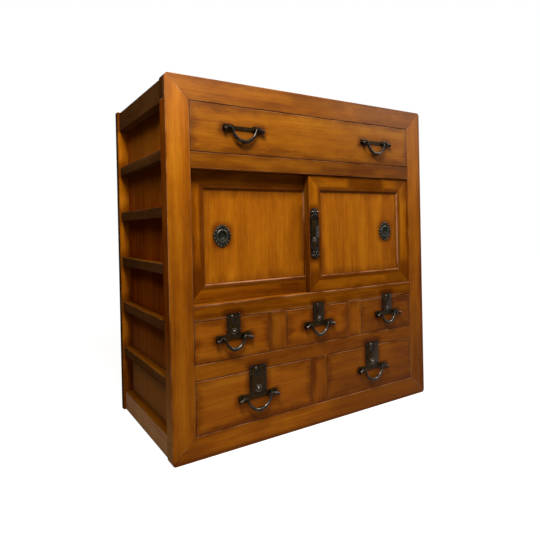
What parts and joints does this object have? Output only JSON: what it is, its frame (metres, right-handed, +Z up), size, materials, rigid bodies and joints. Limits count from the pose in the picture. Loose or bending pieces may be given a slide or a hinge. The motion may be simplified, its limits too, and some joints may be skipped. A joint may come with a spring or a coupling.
{
  "type": "merchant's chest",
  "caption": "Free-standing wooden merchant's chest with a mitred front frame, ladder sides, drawers with iron bail handles and lock plates, and a pair of sliding panelled doors.",
  "frame": {"origin": "on the floor, under the middle of the chest's box, handles included", "axes": "+X to the chest's right as seen from its front, +Y towards its back, +Z up"},
  "size_m": [0.85, 0.4526, 0.9],
  "materials": {
    "frame_wood": "amber satin lacquer, long grain along each member",
    "ladder_wood": "dark brown stain, dull",
    "panel_wood": "amber satin lacquer, fine straight grain",
    "inner_wood": "bare, unfinished softwood",
    "iron": "blackened wrought iron, worn bright on raised edges"
  },
  "bodies": {
    "carcass": {"front_stile_left": "frame_wood", "front_stile_right": "frame_wood", "front_top_rail": "frame_wood", "front_bottom_rail": "frame_wood", "upper_cross_rail": "frame_wood", "door_sill_rail": "frame_wood", "middle_cross_rail": "frame_wood", "small_divider_left": "frame_wood", "small_divider_right": "frame_wood", "large_divider": "frame_wood", "side_ladder_left": "ladder_wood", "side_ladder_right": "ladder_wood", "side_panel_left": "panel_wood", "side_panel_right": "panel_wood", "rear_top_rail": "ladder_wood", "rear_bottom_rail": "ladder_wood", "back_panel": "panel_wood", "top_board": "panel_wood", "bottom_board": "inner_wood", "middle_deck": "inner_wood", "compartment_floor": "inner_wood", "upper_deck": "inner_wood"},
    "top_drawer": {"top_drawer_front": "panel_wood", "top_drawer_tray": "inner_wood", "top_drawer_handle_mount_left": "iron", "top_drawer_handle_mount_right": "iron"},
    "small_drawer_left": {"small_drawer_left_front": "panel_wood", "small_drawer_left_tray": "inner_wood", "small_drawer_left_handle_mount": "iron", "small_drawer_left_lock_plate": "iron"},
    "small_drawer_middle": {"small_drawer_middle_front": "panel_wood", "small_drawer_middle_tray": "inner_wood", "small_drawer_middle_handle_mount": "iron", "small_drawer_middle_lock_plate": "iron"},
    "small_drawer_right": {"small_drawer_right_front": "panel_wood", "small_drawer_right_tray": "inner_wood", "small_drawer_right_handle_mount": "iron", "small_drawer_right_lock_plate": "iron"},
    "large_drawer_left": {"large_drawer_left_front": "panel_wood", "large_drawer_left_tray": "inner_wood", "large_drawer_left_handle_mount": "iron", "large_drawer_left_lock_plate": "iron"},
    "large_drawer_right": {"large_drawer_right_front": "panel_wood", "large_drawer_right_tray": "inner_wood", "large_drawer_right_handle_mount": "iron", "large_drawer_right_lock_plate": "iron"},
    "door_left": {"door_left_frame": "frame_wood", "door_left_panel": "panel_wood", "door_left_finger_pull": "iron"},
    "door_right": {"door_right_frame": "frame_wood", "door_right_panel": "panel_wood", "door_right_finger_pull": "iron", "door_right_lock_plate": "iron"},
    "top_bail_left": {"top_drawer_bail_left": "iron"},
    "top_bail_right": {"top_drawer_bail_right": "iron"},
    "small_bail_left": {"small_drawer_left_bail": "iron"},
    "small_bail_middle": {"small_drawer_middle_bail": "iron"},
    "small_bail_right": {"small_drawer_right_bail": "iron"},
    "large_bail_left": {"large_drawer_left_bail": "iron"},
    "large_bail_right": {"large_drawer_right_bail": "iron"}
  },
  "joints": [
    {"name": "top_drawer_slide", "type": "slide", "parent": "carcass", "child": "top_drawer", "axis": [0, -1, 0], "range_m": [0, 0.3]},
    {"name": "small_drawer_left_slide", "type": "slide", "parent": "carcass", "child": "small_drawer_left", "axis": [0, -1, 0], "range_m": [0, 0.3]},
    {"name": "small_drawer_middle_slide", "type": "slide", "parent": "carcass", "child": "small_drawer_middle", "axis": [0, -1, 0], "range_m": [0, 0.3]},
    {"name": "small_drawer_right_slide", "type": "slide", "parent": "carcass", "child": "small_drawer_right", "axis": [0, -1, 0], "range_m": [0, 0.3]},
    {"name": "large_drawer_left_slide", "type": "slide", "parent": "carcass", "child": "large_drawer_left", "axis": [0, -1, 0], "range_m": [0, 0.3]},
    {"name": "large_drawer_right_slide", "type": "slide", "parent": "carcass", "child": "large_drawer_right", "axis": [0, -1, 0], "range_m": [0, 0.3]},
    {"name": "door_left_slide", "type": "slide", "parent": "carcass", "child": "door_left", "axis": [1, 0, 0], "range_m": [0, 0.343]},
    {"name": "door_right_slide", "type": "slide", "parent": "carcass", "child": "door_right", "axis": [-1, 0, 0], "range_m": [0, 0.343]},
    {"name": "top_bail_left_hinge", "type": "hinge", "parent": "top_drawer", "child": "top_bail_left", "pos_m": [-0.225, -0.2207, 0.788], "axis": [-1, 0, 0], "range_deg": [0, 170]},
    {"name": "top_bail_right_hinge", "type": "hinge", "parent": "top_drawer", "child": "top_bail_right", "pos_m": [0.225, -0.2207, 0.788], "axis": [-1, 0, 0], "range_deg": [0, 170]},
    {"name": "small_bail_left_hinge", "type": "hinge", "parent": "small_drawer_left", "child": "small_bail_left", "pos_m": [-0.26267, -0.2207, 0.2755], "axis": [-1, 0, 0], "range_deg": [0, 170]},
    {"name": "small_bail_middle_hinge", "type": "hinge", "parent": "small_drawer_middle", "child": "small_bail_middle", "pos_m": [0, -0.2207, 0.2755], "axis": [-1, 0, 0], "range_deg": [0, 170]},
    {"name": "small_bail_right_hinge", "type": "hinge", "parent": "small_drawer_right", "child": "small_bail_right", "pos_m": [0.26267, -0.2207, 0.2755], "axis": [-1, 0, 0], "range_deg": [0, 170]},
    {"name": "large_bail_left_hinge", "type": "hinge", "parent": "large_drawer_left", "child": "large_bail_left", "pos_m": [-0.197, -0.2207, 0.1195], "axis": [-1, 0, 0], "range_deg": [0, 170]},
    {"name": "large_bail_right_hinge", "type": "hinge", "parent": "large_drawer_right", "child": "large_bail_right", "pos_m": [0.197, -0.2207, 0.1195], "axis": [-1, 0, 0], "range_deg": [0, 170]}
  ]
}
